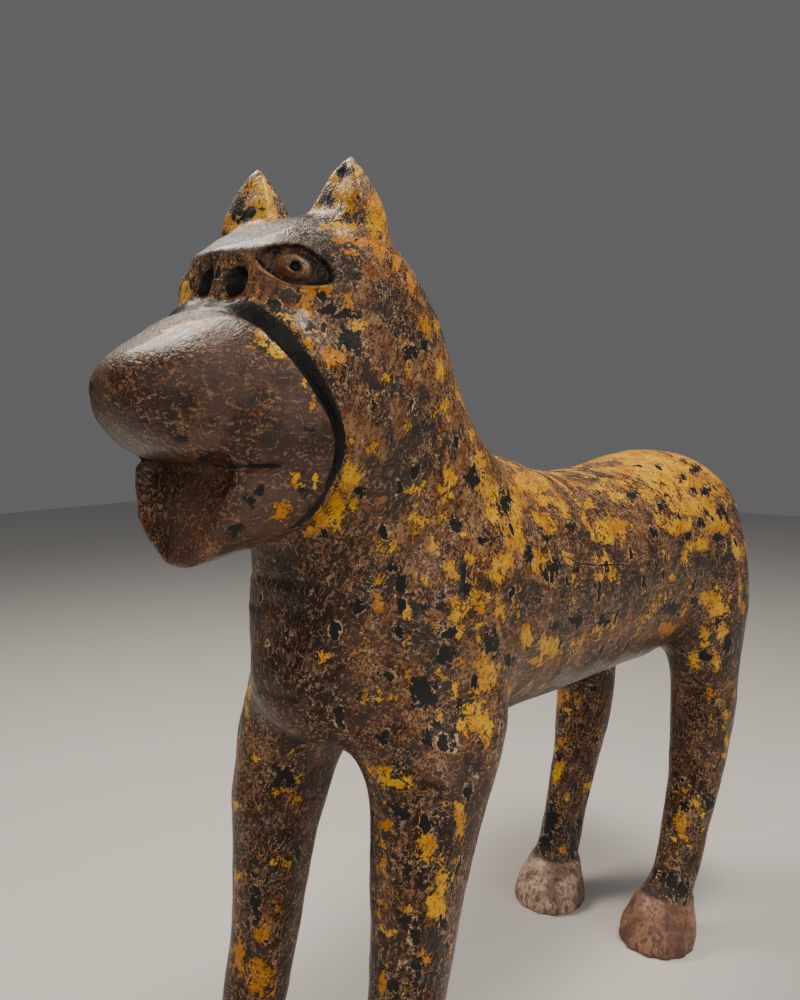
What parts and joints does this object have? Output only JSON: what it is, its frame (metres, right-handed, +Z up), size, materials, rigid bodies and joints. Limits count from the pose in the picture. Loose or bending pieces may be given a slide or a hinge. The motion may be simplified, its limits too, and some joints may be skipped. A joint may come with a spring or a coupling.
{
  "type": "wooden leopard statue",
  "caption": "Standing leopard carved in solid wood and painted, with a long muzzle, a hanging open jaw, upright ears and fluted hoof-like feet; it stands on its own feet.",
  "frame": {"origin": "on the ground under the middle of the figure's bounding box", "axes": "+Z up, -Y the way the head looks, +X the figure's left side"},
  "size_m": [0.311, 1.1717, 1.0234],
  "materials": {
    "painted_wood": "thick worn paint in ochre yellow, black and grey-brown under an uneven glossy varnish"
  },
  "bodies": {
    "root": {"leopard": "painted_wood"}
  },
  "joints": []
}
